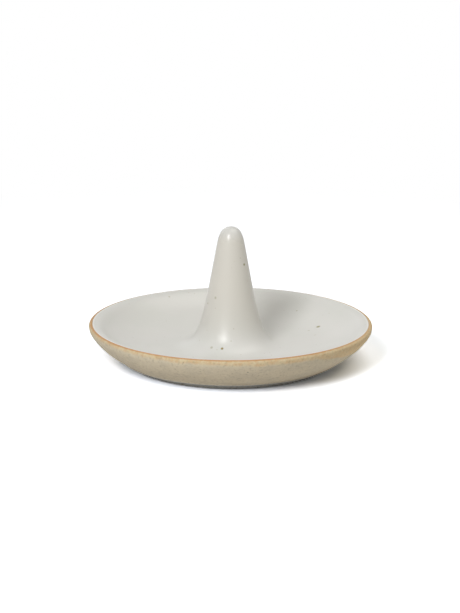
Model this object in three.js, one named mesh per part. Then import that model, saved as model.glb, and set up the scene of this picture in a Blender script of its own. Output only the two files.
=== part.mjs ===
// Stoneware ring cone: a shallow dish with a hollow cone standing in its middle.
//
// The cone is luted with slip into a round seat in the dish floor. One coat of glaze covers the cone
// and the inside of the dish. The rim, the outside and the underside are bare clay, and the dish
// stands on a turned foot ring that is set back below its wall.
//
// Units are millimetres, +Z is up, and the origin is the centre of the foot on the table.
// Every piece is turned about +Z, so each is drawn as a profile of (radius, height) points.

import * as THREE from "three";

// Dish: rim and outer wall
const RIM_RADIUS = 55; // widest radius
const DISH_HEIGHT = 15.6; // rim above the table
const RIM_FLAT = 0.3; // level bare clay between the glaze and the rounded edge
const RIM_EDGE_RADIUS = 1.1; // rounding of the rim's outer edge
const RIM_BAND = 0.2; // upright stretch below the rounded edge
const BAND_TURN = 0.9; // soft turn from the upright band into the wall
const WALL_BULGE = 0.9; // how far the outer wall swells beyond a straight taper

// Dish: foot and hollow
const BASE_RADIUS = 43.8; // where the wall turns under
const BASE_EDGE_RADIUS = 0.8; // rounding of that turn
const FOOT_HEIGHT = 2.5; // the wall's lower edge stands this far above the table
const FOOT_SETBACK = 4.8; // the foot ring stands this far inside the wall's lower edge
const FOOT_EDGE_RADIUS = 0.5; // rounding of the foot ring's outer edge
const FOOT_WIDTH = 5; // ring that touches the table
const FOOT_RECESS = 2.4; // depth of the recess inside the foot ring
const FOOT_RECESS_SLOPE = 1; // width of the turned slope from the foot ring into the recess
const SEAT_CLAY = 1.8; // clay left below the cone's seat
const HOLLOW_PULL = 12; // how long the inside curve runs level before it rises
const STEEP_RUN = 5.3; // outward reach of the inside curve's steep stretch
const STEEP_RISE = 4.5; // upward reach of that stretch
const BRINK_SETBACK = 4.4; // the steep stretch ends this far inside the edge of the glaze
const BRINK_DROP = 2.5; // and this far below the rim
const BRINK_PULL = 2; // how long the curve stays steep before it bends over
const LEDGE_RUN = 2.1; // outward reach of the nearly level ledge inside the rim
const LEDGE_RISE = 0.3; // upward reach of that ledge

// Cone
const SHOULDER_RADIUS = 5.6; // where the rounded crown runs into the straight flank
const FLANK_SPREAD = 2.1; // the waist is this much wider than the shoulder
const FLARE_SPREAD = 15.3; // the skirt's edge is this much wider than the waist
const CROWN_HEIGHT = 10.2; // tip above the shoulder
const FLANK_HEIGHT = 11.3; // shoulder above the waist
const FLARE_HEIGHT = 25.3; // waist above the lowest ring of the hollow
const CROWN_BLUNTNESS = 4; // how far the tip runs level before it turns down
const CROWN_PULL = 6.5; // how long the crown follows the flank
const FLARE_PULL = 20.5; // how long the flare follows the flank
const SKIRT_PULL = 9.8; // how long the flare runs level into the hollow
const SKIRT_EDGE = 1.3; // thickness of the skirt's edge
const BORE_RADIUS = 5; // hollow of the cone where it opens through the dish
const BORE_END_RADIUS = 1.6; // rounded blind end of the hollow
const TIP_CLAY = 7; // clay above the hollow

// Joint and coat
const SLIP_THICKNESS = 0.5; // luting slip between the skirt and its seat
const GLAZE_THICKNESS = 0.5;
const HAIRLINE = 0.05; // clearance between pieces that are fired together

// Fineness of the facets
const TURN_STEPS = 64;
const TIGHT_CURVE_STEPS = 4;
const LONG_CURVE_STEPS = 12;

// Radii and heights worked out from the sizes above
const JOINT_GAP = SLIP_THICKNESS + 2 * HAIRLINE;
const SEAT_FLOOR = FOOT_RECESS + SEAT_CLAY;
const SKIRT_UNDERSIDE = SEAT_FLOOR + JOINT_GAP;
const FLOOR_HEIGHT = SKIRT_UNDERSIDE + SKIRT_EDGE;
const WAIST_RADIUS = SHOULDER_RADIUS + FLANK_SPREAD;
const SKIRT_RADIUS = WAIST_RADIUS + FLARE_SPREAD;
const SEAT_RADIUS = SKIRT_RADIUS + JOINT_GAP;
const WAIST_HEIGHT = FLOOR_HEIGHT + FLARE_HEIGHT;
const SHOULDER_HEIGHT = WAIST_HEIGHT + FLANK_HEIGHT;
const TIP_HEIGHT = SHOULDER_HEIGHT + CROWN_HEIGHT;
const GLAZE_EDGE_RADIUS = RIM_RADIUS - RIM_EDGE_RADIUS - RIM_FLAT;
const COAT = HAIRLINE + GLAZE_THICKNESS;
const LEDGE_HEIGHT = DISH_HEIGHT - COAT;

const point = (radius, height) => new THREE.Vector2(radius, height);

const moved = (from, direction, distance) => from.clone().addScaledVector(direction, distance);

// Points along a curve without its first one, which the stretch before it already has.
const along = (curve, steps) => curve.getPoints(steps).slice(1);

// Quarter of a circle from one angle, turning left or right.
function quarterArc(centre, radius, from, clockwise) {
  const to = from + (clockwise ? -1 : 1) * Math.PI / 2;
  return new THREE.EllipseCurve(centre.x, centre.y, radius, radius, from, to, clockwise);
}

// Clay surface of the cone, from its tip to the edge of its skirt.
function coneSurface() {
  const tip = point(0, TIP_HEIGHT);
  const shoulder = point(SHOULDER_RADIUS, SHOULDER_HEIGHT);
  const waist = point(WAIST_RADIUS, WAIST_HEIGHT);
  const skirt = point(SKIRT_RADIUS, FLOOR_HEIGHT);
  const down = waist.clone().sub(shoulder).normalize();
  const crown = new THREE.CubicBezierCurve(
    tip,
    point(CROWN_BLUNTNESS, TIP_HEIGHT),
    moved(shoulder, down, -CROWN_PULL),
    shoulder,
  );
  const flare = new THREE.CubicBezierCurve(
    waist,
    moved(waist, down, FLARE_PULL),
    point(SKIRT_RADIUS - SKIRT_PULL, FLOOR_HEIGHT),
    skirt,
  );
  return [tip, ...along(crown, LONG_CURVE_STEPS), waist, ...along(flare, LONG_CURVE_STEPS)];
}

// Clay surface of the dish's inside, from the edge of the seat to the edge of the glaze. It rises
// ever steeper up to a brink, then bends over to a ledge that lies below the rim by the coat of glaze.
function hollowSurface() {
  const seatEdge = point(SEAT_RADIUS, FLOOR_HEIGHT);
  const brink = point(GLAZE_EDGE_RADIUS - BRINK_SETBACK, DISH_HEIGHT - BRINK_DROP);
  const steep = point(STEEP_RUN, STEEP_RISE);
  const wall = new THREE.CubicBezierCurve(
    seatEdge,
    point(SEAT_RADIUS + HOLLOW_PULL, FLOOR_HEIGHT),
    moved(brink, steep, -1),
    brink,
  );
  const ledge = new THREE.CubicBezierCurve(
    brink,
    moved(brink, steep.clone().normalize(), BRINK_PULL),
    point(GLAZE_EDGE_RADIUS - LEDGE_RUN, LEDGE_HEIGHT - LEDGE_RISE),
    point(GLAZE_EDGE_RADIUS, LEDGE_HEIGHT),
  );
  return [seatEdge, ...along(wall, LONG_CURVE_STEPS), ...along(ledge, LONG_CURVE_STEPS)];
}

// Outside of the dish, from the underside of the wall up to the flat of the rim.
function outerSurface() {
  const baseCentre = point(BASE_RADIUS - BASE_EDGE_RADIUS, FOOT_HEIGHT + BASE_EDGE_RADIUS);
  const rimCentre = point(RIM_RADIUS - RIM_EDGE_RADIUS, DISH_HEIGHT - RIM_EDGE_RADIUS);
  const wallFoot = point(BASE_RADIUS, baseCentre.y);
  const bandFoot = point(RIM_RADIUS, rimCentre.y - RIM_BAND);
  const turnCorner = point(RIM_RADIUS, bandFoot.y - BAND_TURN);
  const taper = turnCorner.clone().sub(wallFoot);
  const outward = point(taper.y, -taper.x).normalize();
  const swell = moved(moved(wallFoot, taper, 1 / 2), outward, 2 * WALL_BULGE);
  const wallTop = moved(turnCorner, swell.clone().sub(turnCorner).normalize(), BAND_TURN);
  return [
    ...quarterArc(baseCentre, BASE_EDGE_RADIUS, -Math.PI / 2, false).getPoints(TIGHT_CURVE_STEPS),
    ...along(new THREE.QuadraticBezierCurve(wallFoot, swell, wallTop), LONG_CURVE_STEPS),
    ...along(new THREE.QuadraticBezierCurve(wallTop, turnCorner, bandFoot), TIGHT_CURVE_STEPS),
    ...quarterArc(rimCentre, RIM_EDGE_RADIUS, 0, false).getPoints(TIGHT_CURVE_STEPS),
  ];
}

function dishProfile() {
  const footOutside = BASE_RADIUS - FOOT_SETBACK;
  const footInside = footOutside - FOOT_EDGE_RADIUS - FOOT_WIDTH;
  const footCentre = point(footOutside - FOOT_EDGE_RADIUS, FOOT_EDGE_RADIUS);
  const ventEdge = point(BORE_RADIUS, SEAT_FLOOR);
  return [
    ventEdge,
    point(BORE_RADIUS, FOOT_RECESS),
    point(footInside - FOOT_RECESS_SLOPE, FOOT_RECESS),
    point(footInside, 0),
    ...quarterArc(footCentre, FOOT_EDGE_RADIUS, -Math.PI / 2, false).getPoints(TIGHT_CURVE_STEPS),
    point(footOutside, FOOT_HEIGHT),
    ...outerSurface(),
    point(GLAZE_EDGE_RADIUS, DISH_HEIGHT),
    ...hollowSurface().reverse(),
    point(SEAT_RADIUS, SEAT_FLOOR),
    ventEdge,
  ];
}

function coneProfile() {
  const boreEnd = point(0, TIP_HEIGHT - TIP_CLAY - BORE_END_RADIUS);
  return [
    ...quarterArc(boreEnd, BORE_END_RADIUS, Math.PI / 2, true).getPoints(TIGHT_CURVE_STEPS),
    point(BORE_RADIUS, SKIRT_UNDERSIDE),
    point(SKIRT_RADIUS, SKIRT_UNDERSIDE),
    ...coneSurface().reverse(),
  ];
}

// Ring of slip, L-shaped in section: under the skirt and up around its edge.
function slipProfile() {
  const outside = SEAT_RADIUS - HAIRLINE;
  const inside = SKIRT_RADIUS + HAIRLINE;
  const bottom = SEAT_FLOOR + HAIRLINE;
  const top = SKIRT_UNDERSIDE - HAIRLINE;
  return [
    point(BORE_RADIUS, bottom),
    point(outside, bottom),
    point(outside, FLOOR_HEIGHT),
    point(inside, FLOOR_HEIGHT),
    point(inside, top),
    point(BORE_RADIUS, top),
    point(BORE_RADIUS, bottom),
  ];
}

// Clay surface moved off itself: straight up at the tip, and where it ends against the rim.
function coatFace(clay, distance) {
  const last = clay.length - 1;
  return clay.map((p, i) => {
    if (i === 0) return point(p.x, p.y + distance);
    if (i === last) return point(p.x - HAIRLINE, p.y + distance);
    const run = clay[i + 1].clone().sub(clay[i - 1]).normalize();
    return moved(p, point(-run.y, run.x), distance);
  });
}

function glazeProfile() {
  const clay = [...coneSurface(), ...hollowSurface()];
  return [
    ...coatFace(clay, HAIRLINE),
    ...coatFace(clay, COAT).reverse(),
  ];
}

// A profile turned about +Z into a named solid.
function turned(name, profile, finish) {
  const material = new THREE.MeshStandardMaterial({ metalness: 0, ...finish });
  const mesh = new THREE.Mesh(new THREE.LatheGeometry(profile, TURN_STEPS), material);
  mesh.name = name;
  mesh.rotation.x = Math.PI / 2;
  return mesh;
}

const ringCone = new THREE.Group();
ringCone.add(
  turned("dish", dishProfile(), { color: 0xc4b7a0, roughness: 0.9 }),
  turned("cone", coneProfile(), { color: 0xc7bca6, roughness: 0.9 }),
  turned("luting_slip", slipProfile(), { color: 0xb7a88e, roughness: 0.95 }),
  turned("glaze_coat", glazeProfile(), { color: 0xe1e1db, roughness: 0.35 }),
);

export default ringCone;
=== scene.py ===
# %% [markdown]
# # A stoneware ring cone
#
# A shallow dish with a slim cone in its middle, thrown in pale stoneware. The cone and the inside
# of the dish carry a satin off-white glaze with a few iron specks. The rim, the outside and the foot
# are bare clay. The solid model already has every piece in its place, so this lesson dresses it:
# finer meshes for the clay and the glaze, finishes written as formulas, and soft studio light.
#
# The solid model is loaded first. Its pieces stay in the scene, and the dressed object stays
# inside their box. The dressed object must stay inside it.

import math

import bmesh
import bpy
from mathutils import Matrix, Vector, noise


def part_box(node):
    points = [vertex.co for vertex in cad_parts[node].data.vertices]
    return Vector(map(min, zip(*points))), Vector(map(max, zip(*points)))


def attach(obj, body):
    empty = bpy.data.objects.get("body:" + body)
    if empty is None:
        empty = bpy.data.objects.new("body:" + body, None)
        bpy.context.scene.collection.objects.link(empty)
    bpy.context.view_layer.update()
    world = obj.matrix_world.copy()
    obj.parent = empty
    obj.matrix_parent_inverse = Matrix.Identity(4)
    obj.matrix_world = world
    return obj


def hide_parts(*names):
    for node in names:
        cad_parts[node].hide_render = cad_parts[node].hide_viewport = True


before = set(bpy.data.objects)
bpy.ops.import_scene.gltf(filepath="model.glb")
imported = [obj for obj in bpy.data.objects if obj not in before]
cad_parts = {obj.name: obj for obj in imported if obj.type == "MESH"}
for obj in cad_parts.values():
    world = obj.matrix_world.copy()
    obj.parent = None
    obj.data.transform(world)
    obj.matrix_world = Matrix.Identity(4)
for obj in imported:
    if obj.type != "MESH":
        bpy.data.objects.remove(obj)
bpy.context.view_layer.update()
print("solid pieces:", ", ".join(sorted(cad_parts)))

# %% [markdown]
# ## Sizes
#
# A potter reads the main sizes off the piece on the bench. Here they come from the boxes of the solid
# pieces, so the fine meshes can't drift away from them. Profiles are drawn in millimetres, as
# (radius, height) points, and become metres when they are turned.

# %% Read the main sizes from the solid pieces
MM = 0.001


def reach(node):
    """Radius, lowest point and highest point of a turned solid piece, in millimetres."""
    low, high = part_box(node)
    return high.x / MM, low.z / MM, high.z / MM


RIM_RADIUS, _, RIM_HEIGHT = reach("dish")
SKIRT_RADIUS, _, TIP_HEIGHT = reach("cone")
SLIP_RADIUS, SLIP_UNDERSIDE, FLOOR_HEIGHT = reach("luting_slip")
_, _, GLAZE_TIP = reach("glaze_coat")
COAT = GLAZE_TIP - TIP_HEIGHT
HAIRLINE = 0.05  # clearance between pieces that are fired together
print(f"dish {2 * RIM_RADIUS:.1f} mm wide and {RIM_HEIGHT:.1f} mm high, tip at {GLAZE_TIP:.2f} mm")

# %% [markdown]
# ## Camera
#
# The picture was taken with a long lens from a little above the table, so the dish shows as a slim
# ellipse. A camera 15 degrees up and 90 cm away gives that ellipse. The lens follows from how large
# the dish is in the frame, and the aim point from where it sits, so the camera needs no shift.

# %% Place the camera
CAMERA_DISTANCE = 894.9 * MM
CAMERA_ELEVATION = math.radians(14.9)
CAMERA_ROLL = math.radians(0.2)
AIM = Vector((-0.23, 0, 21.68)) * MM
LENS = 135.6  # millimetres, on a sensor 36 mm long

camera = bpy.data.objects.new("camera", bpy.data.cameras.new("camera"))
bpy.context.scene.collection.objects.link(camera)
bpy.context.scene.camera = camera
camera.data.lens = LENS
towards_viewer = Vector((0, -math.cos(CAMERA_ELEVATION), math.sin(CAMERA_ELEVATION)))
camera.location = AIM + CAMERA_DISTANCE * towards_viewer
camera.rotation_euler = (AIM - camera.location).to_track_quat("-Z", "Y").to_euler()
camera.rotation_euler.rotate_axis("Z", CAMERA_ROLL)
print("camera at", [round(c, 3) for c in camera.location])

# %% [markdown]
# ## Drawing the profiles
#
# Everything on a potter's wheel is round, so each piece is one profile spun about the upright axis.
# The profiles could be drawn by hand as curve objects. Bezier curves in a few lines of Python do the
# same, and every bend then hangs on a named size.

# %% Helpers that draw curves
TOUCHING = 1e-4  # points closer than this are one point


def at(radius, height):
    return Vector((radius, height))


def bezier(*controls, steps):
    """Points along the Bezier curve with these control points; two of them give a straight line."""
    points = []
    for step in range(steps + 1):
        row = list(controls)
        while len(row) > 1:
            row = [start.lerp(end, step / steps) for start, end in zip(row, row[1:])]
        points.append(row[0])
    return points


def chained(*stretches):
    """Stretches of points joined end to end, with each shared end kept once."""
    points = []
    for point in (point for stretch in stretches for point in stretch):
        if not points or (point - points[-1]).length > TOUCHING:
            points.append(point)
    return points


# %% [markdown]
# The cone has a blunt crown, a straight flank and a flare that sweeps out level into the hollow of the
# dish. There is no flat floor: from the lowest ring, where the cone's skirt ends, one long curve rises
# ever steeper to a brink and bends over to a ledge inside the rim. This line is the clay under the
# glaze. The ledge lies below the rim by the thickness of the glaze, which will fill it.

# %% Clay surface under the glaze
SHOULDER_RADIUS = 5.6  # the crown ends and the flank begins
WAIST_RADIUS = 7.7  # the flank ends and the flare begins
CROWN_HEIGHT = 10.2
FLARE_HEIGHT = 25.3
CROWN_BLUNTNESS = 4  # how far the tip runs level before it turns down
CROWN_PULL = 6.5  # how long the crown follows the flank
FLARE_PULL = 20.5  # how long the flare follows the flank
SKIRT_PULL = 9.8  # how long the flare runs level into the hollow
GLAZE_EDGE = 53.6  # radius where the glaze stops
HOLLOW_PULL = 12  # how long the hollow runs level before it rises
STEEP = at(5.3, 4.5)  # run and rise of its steep stretch
BRINK = at(4.4, 2.5)  # the steep stretch ends this far inside the glaze's edge and below the rim
BRINK_PULL = 2  # how long the hollow stays steep before it bends over
LEDGE = at(2.1, 0.3)  # run and rise of the ledge inside the rim

tip = at(0, TIP_HEIGHT)
shoulder = at(SHOULDER_RADIUS, TIP_HEIGHT - CROWN_HEIGHT)
waist = at(WAIST_RADIUS, FLOOR_HEIGHT + FLARE_HEIGHT)
skirt = at(SKIRT_RADIUS, FLOOR_HEIGHT)
seat_edge = at(SLIP_RADIUS + HAIRLINE, FLOOR_HEIGHT)
glaze_line = at(GLAZE_EDGE, RIM_HEIGHT)
ledge_end = glaze_line - at(0, COAT)
brink = glaze_line - BRINK
down = (waist - shoulder).normalized()

cone_surface = chained(
    bezier(tip, at(CROWN_BLUNTNESS, TIP_HEIGHT), shoulder - CROWN_PULL * down, shoulder, steps=24),
    bezier(shoulder, waist, steps=12),
    bezier(waist, waist + FLARE_PULL * down, skirt - at(SKIRT_PULL, 0), skirt, steps=36),
)
hollow_surface = chained(
    bezier(skirt, seat_edge, steps=1),
    bezier(seat_edge, seat_edge + at(HOLLOW_PULL, 0), brink - STEEP, brink, steps=36),
    bezier(brink, brink + BRINK_PULL * STEEP.normalized(), ledge_end - LEDGE, ledge_end, steps=18),
)
print(len(cone_surface), "points down the cone and", len(hollow_surface), "across the hollow")

# %% [markdown]
# The outside starts where the wall turns under, swells gently and turns upright just below the rim,
# where the potter trimmed a narrow band. The potter also wiped the rim with a sponge, which left its
# outer edge round and full.

# %% Clay surface of the outside
BASE_RADIUS = 43.8  # where the wall turns under
BASE_ROUND = 0.8
FOOT_HEIGHT = 2.5  # the wall's lower edge stands this far above the table
RIM_ROUND = 1.1  # height of the rounded rim
RIM_FALL = 0.03  # how far its top slopes down before it turns under
RIM_BAND = 0.2  # upright stretch below the rounded rim
BAND_TURN = 0.9  # soft turn from the upright band into the wall
WALL_BULGE = 0.9  # how far the wall swells beyond a straight taper
CIRCLE = 0.5523  # pull that makes a Bezier curve follow a quarter circle
RIM_PULL = 0.65  # a fuller corner than a circle's


def rounded(start, corner, end, steps, pull=CIRCLE):
    """A round corner between two points; a circle's quarter where both lie equally far from it."""
    return bezier(start, start.lerp(corner, pull), end.lerp(corner, pull), end, steps=steps)


base_edge = at(BASE_RADIUS - BASE_ROUND, FOOT_HEIGHT)
wall_foot = at(BASE_RADIUS, FOOT_HEIGHT + BASE_ROUND)
rim_corner = at(RIM_RADIUS, RIM_HEIGHT - RIM_FALL)
rim_side = at(RIM_RADIUS, RIM_HEIGHT - RIM_ROUND)
band_foot = rim_side - at(0, RIM_BAND)
band_corner = band_foot - at(0, BAND_TURN)
taper = band_corner - wall_foot
outward = at(taper.y, -taper.x).normalized()
middle = wall_foot.lerp(band_corner, 0.5)
swell = middle + 2 * WALL_BULGE * outward  # a curve swells half as far as its handle stands out
wall_top = band_corner + BAND_TURN * (swell - band_corner).normalized()

outside_surface = chained(
    rounded(base_edge, at(BASE_RADIUS, FOOT_HEIGHT), wall_foot, steps=8),
    bezier(wall_foot, swell, wall_top, steps=40),
    bezier(wall_top, band_corner, band_foot, steps=8),
    bezier(band_foot, rim_side, steps=2),
    rounded(rim_side, rim_corner, glaze_line, steps=12, pull=RIM_PULL),
)
print(len(outside_surface), "points up the outside")

# %% [markdown]
# Nobody sees the underside in the picture, only a dark gap below the wall. It is made as such dishes
# are: the foot is a ring set back under the wall, the clay inside it is hollowed out, and a vent hole
# lets the air out of the cone in the kiln.

# %% Clay surface of the underside
FOOT_SETBACK = 4.8  # the foot ring stands this far inside the wall's lower edge
FOOT_ROUND = 0.5
FOOT_WIDTH = 5
FOOT_RECESS = 2.4
RECESS_SLOPE = 1  # width of the slope into the recess
VENT_RADIUS = 5
VENT_ROUND = 0.4

foot_corner = at(BASE_RADIUS - FOOT_SETBACK, 0)
foot_top = at(foot_corner.x, FOOT_HEIGHT)
foot_side = foot_corner + at(0, FOOT_ROUND)
foot_edge = foot_corner - at(FOOT_ROUND, 0)
foot_inside = foot_edge - at(FOOT_WIDTH, 0)
recess_corner = at(foot_inside.x - RECESS_SLOPE, FOOT_RECESS)
recess_edge = recess_corner - at(RECESS_SLOPE, 0)
vent_corner = at(VENT_RADIUS, FOOT_RECESS)
vent_wall = vent_corner + at(0, VENT_ROUND)
vent_edge = vent_corner + at(VENT_ROUND, 0)
seat_floor = SLIP_UNDERSIDE - HAIRLINE

underside_surface = chained(
    bezier(at(VENT_RADIUS, seat_floor), vent_wall, steps=2),
    rounded(vent_wall, vent_corner, vent_edge, steps=4),
    bezier(vent_edge, recess_edge, steps=48),
    bezier(recess_edge, recess_corner, foot_inside, foot_inside + at(RECESS_SLOPE, 0), steps=8),
    bezier(foot_inside + at(RECESS_SLOPE, 0), foot_edge, steps=4),
    rounded(foot_edge, foot_corner, foot_side, steps=4),
    bezier(foot_side, foot_top - at(0, FOOT_ROUND), steps=3),
    rounded(foot_top - at(0, FOOT_ROUND), foot_top, foot_top + at(FOOT_ROUND, 0), steps=4),
    bezier(foot_top + at(FOOT_ROUND, 0), base_edge, steps=6),
)
print(len(underside_surface), "points across the underside")

# %% [markdown]
# ## Turning
#
# Blender can spin a line of points about an axis, just as a wheel does. The spin leaves a seam and a
# bunch of points on the axis, so points that coincide are merged and the faces are turned outwards.
# Nothing made by hand is perfectly round, so each point may then be moved a little. The clay shrinks
# unevenly in the kiln: the rim ends up a tenth of a millimetre out of round and out of level.

# %% Helpers that settle a point in the kiln
SETTLE = 0.1  # how far the rim moves in the kiln, in millimetres
LOW_PLACES = 3  # how many places around the rim sink
FIRST_LOW_PLACE = 2.2  # turns them about the axis, in radians


def smooth_step(value, low, high):
    share = min(max((value - low) / (high - low), 0), 1)
    return share * share * (3 - 2 * share)


def settled(place):
    """Where the kiln leaves a point of the dish; it only ever shrinks, and the cone stays put."""
    angle = math.atan2(place.y, place.x)
    share = SETTLE * smooth_step(place.xy.length, SKIRT_RADIUS, RIM_RADIUS)
    pull = share * (1 - math.cos(2 * angle)) / 2 / RIM_RADIUS
    sink = share * (1 + math.sin(LOW_PLACES * angle + FIRST_LOW_PLACE)) / 2 / RIM_HEIGHT
    return Vector((place.x * (1 - pull), place.y * (1 - pull), place.z * (1 - sink)))


# %% Helper that turns a profile
TURN_STEPS = 288
SEAM = 1e-6  # metres within which points are merged
SHARP = math.radians(50)  # folds beyond this stay crisp


def turned(name, profile, worked):
    """A mesh object spun from a profile; worked(place, normal) gives how far a point moves outwards."""
    lathe = bmesh.new()
    row = [lathe.verts.new((point.x * MM, 0, point.y * MM)) for point in profile]
    line = [lathe.edges.new(pair) for pair in zip(row, row[1:])]
    bmesh.ops.spin(
        lathe, geom=row + line, axis=(0, 0, 1), cent=(0, 0, 0), angle=math.tau, steps=TURN_STEPS
    )
    bmesh.ops.remove_doubles(lathe, verts=lathe.verts, dist=SEAM)
    bmesh.ops.recalc_face_normals(lathe, faces=lathe.faces)
    lathe.normal_update()
    moved = []
    for vert in lathe.verts:
        place = vert.co / MM
        moved.append(settled(place + worked(place, vert.normal) * vert.normal) * MM)
    for vert, place in zip(lathe.verts, moved):
        vert.co = place
    mesh = bpy.data.meshes.new(name)
    lathe.to_mesh(mesh)
    lathe.free()
    mesh.shade_smooth()
    mesh.set_sharp_from_angle(angle=SHARP)
    piece = bpy.data.objects.new(name, mesh)
    bpy.context.scene.collection.objects.link(piece)
    print(name, "has", len(mesh.polygons), "faces")
    return piece


# %% [markdown]
# ## Dish
#
# The dish is one closed profile: underside, outside, hollow, and the round seat that the cone was
# luted into. Its bare clay is a little lumpy, and the trimming tool left a faint spiral below. The
# lumps only go inwards, the foot stays flat on the table, and clay under the glaze isn't touched.

# %% How the clay was worked
LUMPS = 0.05  # depth of the lumps in the clay
BROAD_LUMP = 6  # width of a broad lump
SMALL_LUMP = 2.8
SMALL_LUMP_SHARE = 0.5  # depth of the small lumps beside the broad ones
TRIM_DEPTH = 0.05  # depth of the spiral that the trimming tool leaves
TRIM_PITCH = 2.4
BAND_WAVER = 0.12  # how far the trimmed band strays from true
DOWNWARD = -0.1  # a normal that points lower than this is on the underside


def worked_clay(place, normal):
    radius = place.xy.length
    if normal.z > DOWNWARD and radius < GLAZE_EDGE:
        return 0
    angle = math.atan2(place.y, place.x)
    lump = noise.noise(place / BROAD_LUMP) + SMALL_LUMP_SHARE * noise.noise(place / SMALL_LUMP)
    dent = LUMPS * (1 + SMALL_LUMP_SHARE - lump) / 2
    if radius < recess_edge.x:
        dent += TRIM_DEPTH * (1 + math.sin(math.tau * radius / TRIM_PITCH + angle)) / 2
    on_band = smooth_step(place.z, wall_top.y - BAND_TURN, band_corner.y) * (radius > GLAZE_EDGE)
    on_band *= 1 - smooth_step(place.z, band_foot.y, rim_side.y)
    dent += BAND_WAVER * on_band * (1 + noise.noise(Vector((place.x, place.y, 0)) / BROAD_LUMP)) / 2
    return -dent * smooth_step(place.z, 0, FOOT_RECESS)


# %% Turn the dish
seat = [seat_edge, at(seat_edge.x, seat_floor), at(VENT_RADIUS, seat_floor)]
under_glaze = [point for point in hollow_surface if point.x > seat_edge.x][2::3]  # a third is enough
dish_profile = chained(underside_surface, outside_surface, reversed(under_glaze), seat)
dish = turned("thrown_dish", dish_profile, worked_clay)
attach(dish, "root")
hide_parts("dish")

# %% [markdown]
# ## Glaze
#
# Glaze is a coat of glass about half a millimetre thick. It could be faked by colouring the clay, but
# a real coat has a rounded lip where it ends at the rim, and that lip catches the light. So the coat
# is a shell of its own: the clay surface raised along its normals, with a rounded end, and a hairline
# above the clay on its underside. The molten glass leaves it slightly uneven.

# %% How the glaze ran
RIPPLES = 0.035  # depth of the unevenness
BROAD_RIPPLE = 11  # width of a broad ripple
SMALL_RIPPLE = 4.5
SMALL_RIPPLE_SHARE = 0.4  # depth of the small ripples beside the broad ones
RING_DEPTH = 0.02  # depth of the rings that the potter's fingers left in the hollow
RING_PITCH = 4.3
LIP_ROUND = 0.6  # width of the rounded lip
UPWARD = 0.02  # a normal that points higher than this is on the top of the coat


def worked_glaze(place, normal):
    if normal.z < UPWARD:
        return 0
    radius = place.xy.length
    ripple = noise.noise(place / BROAD_RIPPLE) + SMALL_RIPPLE_SHARE * noise.noise(place / SMALL_RIPPLE)
    dent = RIPPLES * (1 + SMALL_RIPPLE_SHARE - ripple) / 2 * smooth_step(radius, 0, SHOULDER_RADIUS)
    in_hollow = smooth_step(radius, SKIRT_RADIUS, RIM_RADIUS)
    dent += RING_DEPTH * in_hollow * (1 + math.sin(math.tau * radius / RING_PITCH)) / 2
    return -dent * (1 - smooth_step(radius, GLAZE_EDGE - 2 * LIP_ROUND, GLAZE_EDGE))


# %% Turn the glaze
LIP_PULL = 0.3  # how long the lip follows the ledge
LIP_LIFT = 0.08  # how far the handle of the lip's curve stands above the rim
LIP_DROP = 0.1  # how far the lip falls below the rim where it meets the clay


def raised(surface, coat):
    """A surface moved off itself along its normals. It starts on the axis, where it stays level."""
    mirrored = at(-surface[1].x, surface[1].y)
    points = []
    for before, here, after in zip([mirrored] + surface, surface, surface[1:]):
        run = (after - before).normalized()
        points.append(here + coat * at(-run.y, run.x))
    return points


glazed_clay = chained(cone_surface, hollow_surface)
top = [point for point in raised(glazed_clay, COAT) if point.x < GLAZE_EDGE - LIP_ROUND]
lip_end = glaze_line - at(HAIRLINE, LIP_DROP)
lip_start = top[-1] + LIP_PULL * (top[-1] - top[-2]).normalized()
lip = bezier(top[-1], lip_start, at(lip_end.x, RIM_HEIGHT + LIP_LIFT), lip_end, steps=12)
under = raised(glazed_clay, HAIRLINE)[::3]  # nobody sees it, so a third of the points is enough
glaze_profile = chained(top, lip, reversed(under))
glaze = turned("glaze_shell", glaze_profile, worked_glaze)
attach(glaze, "root")
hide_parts("glaze_coat")

# %% [markdown]
# ## Finishes as formulas
#
# A material in Blender is a graph of nodes, and a long graph is hard to read. The class below wraps one
# socket of the graph, and its operators add Math nodes, so that a mask can be written as a plain
# formula such as 1 - mask. Every other node comes from one method, which takes the kind of node, its
# settings, and the values or links of its sockets.

# %% A socket that can stand in a formula
class Shade:
    """A socket of a node tree. Formulas with it add Math nodes to the tree."""

    def __init__(self, tree, socket=None):
        self.tree = tree
        self.socket = socket

    def node(self, kind, settings=None, sockets=None, output=0):
        """Adds a node: first its settings, then the values or links of its sockets."""
        made = self.tree.nodes.new(kind)
        for name, value in (settings or {}).items():
            setattr(made, name, value)
        for name, value in (sockets or {}).items():
            if isinstance(value, Shade):
                self.tree.links.new(value.socket, made.inputs[name])
            else:
                made.inputs[name].default_value = value
        return Shade(self.tree, made.outputs[output] if made.outputs else None)

    def other(self, output):
        """Another output of the same node."""
        return Shade(self.tree, self.socket.node.outputs[output])

    def math(self, operation, first, second):
        return self.node("ShaderNodeMath", {"operation": operation}, {0: first, 1: second})

    def __add__(self, other):
        return self.math("ADD", self, other)

    def __radd__(self, other):
        return self.math("ADD", other, self)

    def __sub__(self, other):
        return self.math("SUBTRACT", self, other)

    def __rsub__(self, other):
        return self.math("SUBTRACT", other, self)

    def __mul__(self, other):
        return self.math("MULTIPLY", self, other)

    def __rmul__(self, other):
        return self.math("MULTIPLY", other, self)

    def __lt__(self, other):
        return self.math("LESS_THAN", self, other)

    def __gt__(self, other):
        return self.math("GREATER_THAN", self, other)


# %% Helpers for colours and masks
def colour(red, green, blue):
    """A colour as it is picked on a screen, 0 to 255, as the light values that shaders work with."""
    picked = [channel / 255 for channel in (red, green, blue)]
    return (*[c / 12.92 if c <= 0.04045 else ((c + 0.055) / 1.055) ** 2.4 for c in picked], 1)


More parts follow.
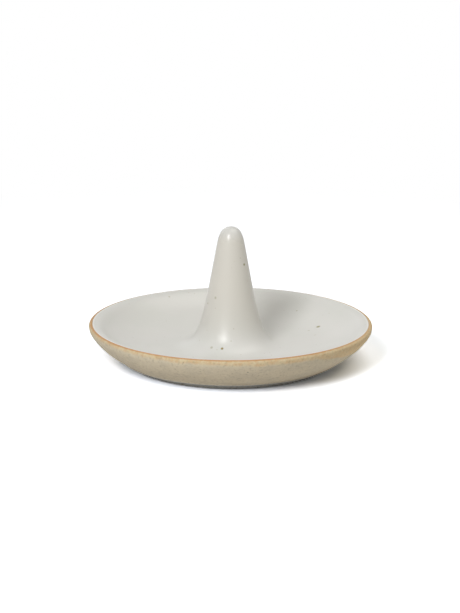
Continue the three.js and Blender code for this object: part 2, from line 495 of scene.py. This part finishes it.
def rise(value, low, high):
    """0 up to low, 1 from high, and a smooth step between them."""
    return value.node(
        "ShaderNodeMapRange",
        {"interpolation_type": "SMOOTHSTEP"},
        {"Value": value, "From Min": low, "From Max": high},
    )


def blended(share, first, second):
    """The first colour where share is 0, the second where it is 1."""
    return share.node("ShaderNodeMix", {"data_type": "RGBA"}, {0: share, 6: first, 7: second}, output=2)


# %% Helpers that measure a place
def height_of(place):
    return place.node("ShaderNodeSeparateXYZ", sockets={"Vector": place}, output="Z")


def radius_of(place):
    level = place.node("ShaderNodeVectorMath", {"operation": "MULTIPLY"}, {0: place, 1: (1, 1, 0)})
    return level.node("ShaderNodeVectorMath", {"operation": "LENGTH"}, {0: level}, output="Value")


def distance_to(place, point):
    return place.node("ShaderNodeVectorMath", {"operation": "DISTANCE"}, {0: place, 1: point}, output="Value")


# %% Helpers that scatter patterns
NOISE_MIDDLE = 0.5
PATCHY = (0.35, 0.65)  # noise between these blends two colours, and beyond them each stands alone
DOT_CORE = 0.3  # a dot is full within this share of its size
DOT_END = 0.6


def clouds(place, width, detail=2):
    """Soft random patches, around the middle of the noise, each about this many millimetres wide."""
    return place.node("ShaderNodeTexNoise", sockets={"Vector": place, "Scale": 1 / width, "Detail": detail})


def dots(place, spacing, share, size):
    """Scattered round dots: one in a share of the cells of this spacing, in millimetres."""
    cells = place.node("ShaderNodeTexVoronoi", sockets={"Vector": place, "Scale": 1 / spacing})
    drawn = cells.node("ShaderNodeSeparateColor", sockets={"Color": cells.other("Color")})
    return (1 - rise(cells * spacing, DOT_CORE * size, DOT_END * size)) * (drawn < share)


# %% Helpers that make a material
def bumped(place, relief, strength, depth):
    """A normal bent by a fine relief of this depth, in millimetres."""
    return place.node(
        "ShaderNodeBump", sockets={"Height": relief, "Strength": strength, "Distance": depth * MM}
    )


def finish(name, paint):
    """A material made by paint(place), where place is the point on the object in millimetres."""
    material = bpy.data.materials.new(name)
    material.use_nodes = True
    material.node_tree.nodes.clear()
    start = Shade(material.node_tree)
    metres = start.node("ShaderNodeTexCoord", output="Object")
    place = metres.node("ShaderNodeVectorMath", {"operation": "SCALE"}, {0: metres, "Scale": 1 / MM})
    start.node("ShaderNodeOutputMaterial", sockets={"Surface": paint(place)})
    print(name, "has", len(material.node_tree.nodes), "nodes")
    return material


# %% [markdown]
# ## Bare clay
#
# Fired stoneware without glaze is dull and sandy: a beige-grey body in soft patches. Below the wall the
# clay is painted a plain neutral grey, a painted shade colour that keeps the dish's shadow there grey
# rather than warm. An image could show this, but noise at the real sizes of the patches and grains has
# no seam and stays sharp close up.

# %% Clay body
GREY_CLAY = colour(212, 200, 178)
BUFF_CLAY = colour(220, 207, 183)
# painted shade: a neutral grey under the wall, so that the dish's shadow there looks grey, not warm
SHADE_GREY_CLAY = colour(205, 204, 201)
BASE_END = FOOT_HEIGHT + BASE_ROUND  # the plain grey ends at this height


def clay_body(height, patches):
    body = blended(rise(patches, *PATCHY), GREY_CLAY, BUFF_CLAY)
    # painted shade: below the wall the clay turns neutral grey, where the dish's shadow falls
    return blended(1 - rise(height, FOOT_HEIGHT, BASE_END), body, SHADE_GREY_CLAY)


# %% [markdown]
# Near the rim the flame reached the clay and flushed it to a warm buff, which comes down lowest on the
# right and is golden there. On the far right it is also painted paler, as painted light for the brighter
# lighting on that side. Its edge wanders. It could be painted by hand, but here the noise of the
# patches is simply added to the height before the border is drawn.

# %% Warm flush below the rim
FLUSHED_CLAY = colour(218, 188, 144)
CREAM_CLAY = colour(225, 206, 168)
# partly painted light: the golden flush colour, painted paler for the brighter light on the far right
GOLDEN_LIT_CLAY = colour(236, 208, 162)
FLUSH_START = RIM_HEIGHT - 2.5  # height where the flush begins
FLUSH_FULL = RIM_HEIGHT - 1.2
FLUSH_STRENGTH = 0.9
FLUSH_WAVER = 2  # how far its edge wanders up and down
FLUSH_TILT = 0.015  # it comes down lower on the right, this much for each millimetre
GOLDEN_REACH = 4  # and this much more on the far right, where it is golden
GOLDEN_LIT_START = 30  # how far to the right that side begins
GOLDEN_LIT_FULL = 52


def flushed(body, height, patches, mottle):
    right = height.other("X")
    # the far right, where the clay turns golden and is painted paler as painted light for that brighter side
    golden_lit = rise(right, GOLDEN_LIT_START, GOLDEN_LIT_FULL)
    warm = blended(rise(mottle, *PATCHY), FLUSHED_CLAY, CREAM_CLAY)
    warm = blended(golden_lit, warm, GOLDEN_LIT_CLAY)
    level = height + FLUSH_WAVER * (patches - NOISE_MIDDLE) + FLUSH_TILT * right + GOLDEN_REACH * golden_lit
    return blended(FLUSH_STRENGTH * rise(level, FLUSH_START, FLUSH_FULL), body, warm)


# %% [markdown]
# The sand in the clay shows as paler and darker grains, and bits of iron as small brown dots. These are
# scattered by chance. Only the one larger speck that stands out on the wall is set where it is.

# %% Grains of sand and iron
PALE_GRAIN = colour(230, 220, 198)
DARK_GRAIN = colour(158, 146, 122)
IRON = colour(104, 92, 68)
PALE_NOISE = (0.52, 0.75)  # noise where the pale grains begin and where they are full
PALE_STRENGTH = 0.5
DARK_NOISE = (0.25, 0.48)  # noise where the dark grains are full and where they end
DARK_STRENGTH = 0.4
DOT_STRENGTH = 0.5
WALL_SPECK = Vector((6.4, -52.5, 10.6))
WALL_SPECK_CORE = 0.21  # it is full up to this distance from its middle
WALL_SPECK_END = 0.49
WALL_SPECK_STRENGTH = 0.55


def sanded(body, place, grain):
    body = blended(PALE_STRENGTH * rise(grain, *PALE_NOISE), body, PALE_GRAIN)
    body = blended(DARK_STRENGTH * (1 - rise(grain, *DARK_NOISE)), body, DARK_GRAIN)
    body = blended(DOT_STRENGTH * dots(place, spacing=2.2, share=0.2, size=0.4), body, IRON)
    speck = 1 - rise(distance_to(place, WALL_SPECK), WALL_SPECK_CORE, WALL_SPECK_END)
    return blended(WALL_SPECK_STRENGTH * speck, body, IRON)


# %% [markdown]
# Right beside the glaze a thin line of clay turned rust brown, more so at the front than at the back.
# Its distance from the glaze is taken as the way outwards plus the way down, which follows the rounded
# rim closely enough and needs no painted map.

# %% Rust line beside the glaze
RUST = colour(204, 150, 102)
RUST_FULL = 0.6  # the clay is rust brown this far from the glaze
RUST_END = 1.5
RUST_WAVER = 0.6  # how far the line's edge wanders
FRONT_RUST = 0.85  # strength at the front
BACK_RUST = 0.15  # strength at the back
BACK_START = -50  # the line starts to weaken here, in millimetres towards the back
BACK_FULL = 40
BACK_TURN = 0.4  # it weakens sooner on the right, this much for each millimetre


def rusted(body, place, height, mottle):
    waver = RUST_WAVER * (mottle - NOISE_MIDDLE)
    from_glaze = radius_of(place) - GLAZE_EDGE + RIM_HEIGHT - height + waver
    line = (1 - rise(from_glaze, RUST_FULL, RUST_END)) * (height > rim_side.y)
    at_back = rise(height.other("Y") + BACK_TURN * height.other("X"), BACK_START, BACK_FULL)
    return blended((FRONT_RUST - (FRONT_RUST - BACK_RUST) * at_back) * line, body, RUST)


# %% [markdown]
# The clay's finish lays these over one another. The grains do more than colour it: each stands up a
# little and scatters the light, so the same noise feeds the bumps and the roughness.

# %% Bare clay
PATCH = 7  # width of a patch
MOTTLE = 2.2  # width of a spot in the flush
GRAIN = 1  # width of a grain of sand
DULL = 0.8  # least roughness of bare clay
SANDY = 0.2  # what the grains add to it


def dull_clay(place, body, grain, strength, depth):
    bumps = bumped(place, grain, strength, depth)
    sockets = {"Base Color": body, "Roughness": DULL + SANDY * grain, "Normal": bumps}
    return place.node("ShaderNodeBsdfPrincipled", sockets=sockets)


def bare_clay(place):
    height = height_of(place)
    patches = clouds(place, PATCH, detail=3)
    mottle = clouds(place, MOTTLE)
    grain = clouds(place, GRAIN, detail=3)
    body = clay_body(height, patches)
    body = flushed(body, height, patches, mottle)
    body = sanded(body, place, grain)
    body = rusted(body, place, height, mottle)
    return dull_clay(place, body, grain, strength=0.5, depth=0.15)


dish.data.materials.append(finish("bare_clay", bare_clay))

# %% [markdown]
# ## Satin glaze
#
# The glaze is milky and satin. It looks cool and white where it lies thick in the dish, and a little
# warmer on the steep cone, where it ran thin and lets the clay through. Along its edge it gathered in
# a bead, which is the whitest of all: partly a thicker bead, partly a painted highlight along the lip.
# Real depth in the coat would be slow to render, so its milk is mixed from four whites.

# %% Milky coat
COOL_WHITE = colour(225, 225, 221)
THICK_WHITE = colour(227, 226, 223)
WARM_WHITE = colour(228, 224, 215)
# partly painted highlight: a whiter line along the lip, where it catches the light
BEAD_HIGHLIGHT_WHITE = colour(242, 241, 237)
CLOUD = 16  # width of the soft clouds in the milk
WARMTH = 0.9  # how far the cone turns warm
# width of the whiter band along the edge: a thick bead and a painted highlight
BEAD_HIGHLIGHT_WIDTH = 0.9  # width of the thick bead along the edge of the glaze


def milky(place, radius, height):
    milk = blended(rise(clouds(place, CLOUD), *PATCHY), COOL_WHITE, THICK_WHITE)
    on_cone = 1 - rise(radius, WAIST_RADIUS, 2 * WAIST_RADIUS)
    below_tip = 1 - rise(height, TIP_HEIGHT - CROWN_HEIGHT / 2, TIP_HEIGHT)
    milk = blended(WARMTH * (on_cone * below_tip), milk, WARM_WHITE)
    # partly a painted highlight: the whiter band along the lip of the glaze
    return blended(rise(radius, GLAZE_EDGE - BEAD_HIGHLIGHT_WIDTH, GLAZE_EDGE - BEAD_HIGHLIGHT_WIDTH / 2), milk, BEAD_HIGHLIGHT_WHITE)


# %% [markdown]
# Iron in the clay bled through the glaze in a few places as small brown specks. The ones that show are
# set where they are on the real piece, by their direction and their distance from the axis, and finer
# ones are scattered by chance.

# %% Iron specks and where they lie
# direction seen from above in degrees (0 is right, -90 is towards the viewer), radius, width, strength
SPECKS = (
    (-102, 15.4, 0.95, 0.95),
    (-118, 15.4, 1.0, 0.35),
    (-109, 15.9, 0.4, 0.3),
    (28, 39.4, 1.5, 0.85),
    (28, 35.1, 0.9, 0.25),
    (17, 34.8, 0.8, 0.25),
    (-40, 6.75, 0.85, 0.8),
    (-130, 9.1, 0.9, 0.35),
    (-155, 9.7, 0.6, 0.45),
    (120, 49.8, 0.8, 0.3),
    (-89, 13.5, 0.5, 0.3),
    (-45, 22.2, 0.5, 0.4),
    (-127, 23.6, 0.5, 0.4),
    (53, 44.4, 0.6, 0.4),
)


def on_glaze(direction, radius):
    """The point of the glaze in this direction and at this distance from the axis."""
    inner = max((point for point in top if point.x <= radius), key=lambda point: point.x)
    outer = min((point for point in top if point.x > radius), key=lambda point: point.x)
    height = inner.lerp(outer, (radius - inner.x) / (outer.x - inner.x)).y
    angle = math.radians(direction)
    return Vector((radius * math.cos(angle), radius * math.sin(angle), height))


highest = max(on_glaze(direction, radius).z for direction, radius, _, _ in SPECKS)
print(len(SPECKS), "iron specks, the highest at", round(highest, 1), "mm")

# %% Specks in the glaze
SPECK_BROWN = colour(136, 114, 6)
SPECK_OLIVE = colour(130, 122, 6)
STRONG = 0.9  # specks above this strength are brown, the others olive
SPECK_CORE = 0.22  # a speck is full within this share of its width
SPECK_END = 0.78
FINE_STRENGTH = 0.25  # strength of the finer specks


def specked(milk, place):
    milk = blended(FINE_STRENGTH * dots(place, spacing=3, share=0.5, size=0.5), milk, SPECK_BROWN)
    for direction, radius, width, strength in SPECKS:
        gap = distance_to(place, on_glaze(direction, radius))
        spot = 1 - rise(gap, SPECK_CORE * width, SPECK_END * width)
        milk = blended(strength * spot, milk, SPECK_BROWN if strength > STRONG else SPECK_OLIVE)
    return milk


# %% [markdown]
# The surface of a satin glaze is smooth glass with fine pits, so its reflections are soft but still
# have a core. It is a little glossier towards the tip of the cone, where the highlight is sharpest.

# %% Satin glaze
SATIN = 0.3  # least roughness of the glaze in the dish
SATIN_SPREAD = 0.1  # what its patches add to that
SATIN_PATCH = 5  # width of such a patch
TIP_GLOSS = 0.08  # what the tip of the cone loses of it
PIT = 1.2  # width of the fine pits


def satin_glaze(place):
    radius = radius_of(place)
    height = height_of(place)
    milk = specked(milky(place, radius, height), place)
    gloss = TIP_GLOSS * rise(height, waist.y, TIP_HEIGHT)
    roughness = SATIN + SATIN_SPREAD * clouds(place, SATIN_PATCH) - gloss
    bumps = bumped(place, clouds(place, PIT), strength=0.15, depth=0.05)
    sockets = {"Base Color": milk, "Roughness": roughness, "Normal": bumps}
    return place.node("ShaderNodeBsdfPrincipled", sockets=sockets)


glaze.data.materials.append(finish("satin_glaze", satin_glaze))

# %% [markdown]
# ## Hidden clay
#
# The cone is hollow, and its inside and the slip around its skirt can only be seen from below, through
# the vent. Their solid pieces are already right, so they stay and only get a finish: pale grainy clay
# for the cone, and a slightly darker, coarser one for the slip.

# %% Finish the cone and the slip
CAST_CLAY = colour(204, 192, 170)
CAST_SHADE = colour(186, 173, 150)
DRY_SLIP = colour(186, 172, 146)
SLIP_SHADE = colour(166, 151, 126)
GRAINY = (0.3, 0.7)  # noise between these blends the two shades of a clay


def plain_clay(pale, dark, grain_width):
    def paint(place):
        grain = clouds(place, grain_width, detail=4)
        body = blended(rise(grain, *GRAINY), dark, pale)
        return dull_clay(place, body, grain, strength=0.4, depth=0.1)

    return paint


def refinish(node, material):
    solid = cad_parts[node].data
    solid.materials.clear()
    solid.materials.append(material)


refinish("cone", finish("cast_clay", plain_clay(CAST_CLAY, CAST_SHADE, grain_width=0.8)))
refinish("luting_slip", finish("dried_slip", plain_clay(DRY_SLIP, SLIP_SHADE, grain_width=1.6)))

# %% [markdown]
# ## Floor and backdrop
#
# The dish stands on white in front of white. A plain pale floor would render grey, and more light
# would burn out the glaze. So the floor is brighter only to rays that reach the camera or a
# reflection: there it is white, and the shadow stays on it. Far from the dish, where the lamps fall
# off, it turns into an even white that meets the white backdrop without an edge.

# %% Floor finish
BOUNCE = 0.8  # how much light the floor gives back to the dish
SEEN_BOUNCE = 2.05  # how bright its colour is to the camera
SEEN_TINT = (0.955, 1.0, 1.1)  # slightly cool, so that warm light and clay leave its shadow neutral
FADE_START = 120  # distance from the dish, in millimetres, where the even white begins
FADE_END = 320


def seen_ray(start):
    """1 for rays that show something to the camera, straight or by reflection, and 0 for other light."""
    rays = start.node("ShaderNodeLightPath", output="Is Camera Ray")
    seen = rays.math("MAXIMUM", rays, rays.other("Is Glossy Ray"))
    return rays.math("MAXIMUM", seen, rays.other("Is Transmission Ray"))


def pale_floor(place):
    seen = seen_ray(place)
    bright_colour = (*[SEEN_BOUNCE * tint for tint in SEEN_TINT], 1)
    plain = place.node("ShaderNodeBsdfDiffuse", sockets={"Color": (BOUNCE, BOUNCE, BOUNCE, 1)})
    bright = place.node("ShaderNodeBsdfDiffuse", sockets={"Color": bright_colour})
    near = place.node("ShaderNodeMixShader", sockets={0: seen, 1: plain, 2: bright})
    far = place.node("ShaderNodeEmission", sockets={"Strength": 1.0})
    share = seen * rise(radius_of(place), FADE_START, FADE_END)
    return place.node("ShaderNodeMixShader", sockets={0: share, 1: near, 2: far})


# %% Lay the floor
FLOOR_SIZE = 8.0

floor_mesh = bpy.data.meshes.new("floor")
sheet = bmesh.new()
bmesh.ops.create_grid(sheet, x_segments=1, y_segments=1, size=FLOOR_SIZE / 2)
sheet.to_mesh(floor_mesh)
sheet.free()
floor = bpy.data.objects.new("floor", floor_mesh)
bpy.context.scene.collection.objects.link(floor)
floor.data.materials.append(finish("pale_floor", pale_floor))

# %% World: white to the camera, soft light to everything else
AMBIENT = 0.13
AMBIENT_TINT = (1, 0.97, 0.84, 1)

world = bpy.data.worlds.new("studio")
bpy.context.scene.world = world
world.use_nodes = True
world.node_tree.nodes.clear()
start = Shade(world.node_tree)
ambient = start.node("ShaderNodeBackground", sockets={"Color": AMBIENT_TINT, "Strength": AMBIENT})
white = start.node("ShaderNodeBackground", sockets={"Color": (1, 1, 1, 1), "Strength": 1.0})
sky = start.node("ShaderNodeMixShader", sockets={0: seen_ray(start), 1: ambient, 2: white})
start.node("ShaderNodeOutputWorld", sockets={"Surface": sky})
print("world light", AMBIENT)

# %% [markdown]
# ## Lamps
#
# The soft shadow in the dish falls to the back right, so the main lamp is a softbox at the front left.
# A wide panel high on the right fills that shadow with slightly warm light, and a weak one at the back
# left lifts the cone's edge. Each lamp's level is how bright a white card that faces it would look,
# and its power follows from its distance.

# %% Softboxes
LAMP_DISTANCE = 1.0
PLAIN = (1, 1, 1)
WARM = (1, 0.98, 0.91)
# direction from the viewer's side in degrees (negative is left), elevation, width, level, tint
LAMPS = {
    "key": (-25, 35, 0.34, 0.545, PLAIN),
    "fill": (105, 68, 0.8, 0.34, WARM),
    "back": (-150, 30, 0.8, 0.08, PLAIN),
}


def softbox(name, direction, elevation, width, level, tint):
    turn = math.radians(direction)
    lift = math.radians(elevation)
    lamp = bpy.data.objects.new(name, bpy.data.lights.new(name, "AREA"))
    bpy.context.scene.collection.objects.link(lamp)
    lamp.data.size = width
    lamp.data.energy = level * (math.pi * LAMP_DISTANCE) ** 2
    lamp.data.color = tint
    lamp.location = LAMP_DISTANCE * Vector((
        math.sin(turn) * math.cos(lift),
        -math.cos(turn) * math.cos(lift),
        math.sin(lift),
    ))
    lamp.rotation_euler = (-lamp.location).to_track_quat("-Z", "Y").to_euler()
    lamp.visible_camera = False
    print(name, "lamp:", round(lamp.data.energy, 2), "W")


for name, settings in LAMPS.items():
    softbox(name, *settings)

# %% [markdown]
# ## Finish
#
# The colours are shown as they are, with the plain view transform.

# %% Finish
bpy.context.scene.view_settings.view_transform = "Standard"
